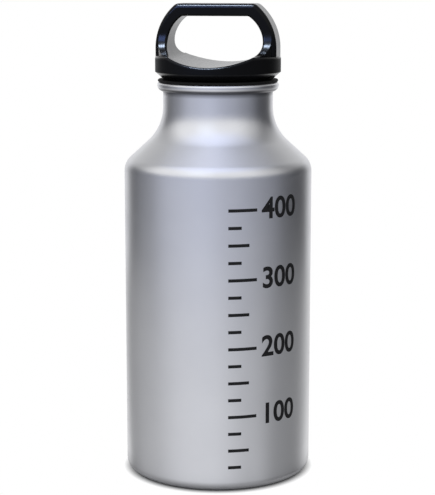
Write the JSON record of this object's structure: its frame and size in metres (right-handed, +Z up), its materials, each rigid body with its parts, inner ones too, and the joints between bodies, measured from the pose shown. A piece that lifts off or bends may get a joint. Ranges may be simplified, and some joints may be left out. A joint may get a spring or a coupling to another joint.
{
  "type": "camping fuel bottle",
  "caption": "Aluminium fuel bottle with an S-shaped shoulder and beaded neck; a black screw cap with a fixed carrying loop lifts its gasket and hollow plug out of the neck as it unscrews.",
  "frame": {"origin": "on the floor under the middle of the base", "axes": "+Z up along the bottle's axis, +X along the carrying loop, -Y towards the viewer"},
  "size_m": [0.072, 0.072, 0.1813],
  "materials": {
    "shell_aluminium": "satin anodised",
    "seal_rubber": "matte",
    "plug_plastic": "as moulded",
    "cap_plastic": "gloss",
    "scale_ink": "screen-printed fill scale"
  },
  "bodies": {
    "bottle": {"bottle_shell": "shell_aluminium"},
    "seal": {"seal_gasket": "seal_rubber"},
    "cap": {"cap_plug": "plug_plastic", "cap_handle": "cap_plastic"}
  },
  "joints": [
    {"name": "cap_rise", "type": "slide", "parent": "bottle", "child": "seal", "axis": [0, 0, 1], "range_m": [0, 0.0151]},
    {"name": "cap_turn", "type": "hinge", "parent": "seal", "child": "cap", "pos_m": [0, 0, 0.1528], "axis": [0, 0, 1], "range_deg": [0, 1350]}
  ],
  "couplings": [
    {"joint": "cap_rise", "follows": "cap_turn", "m_per_rad": 0.00063662}
  ]
}
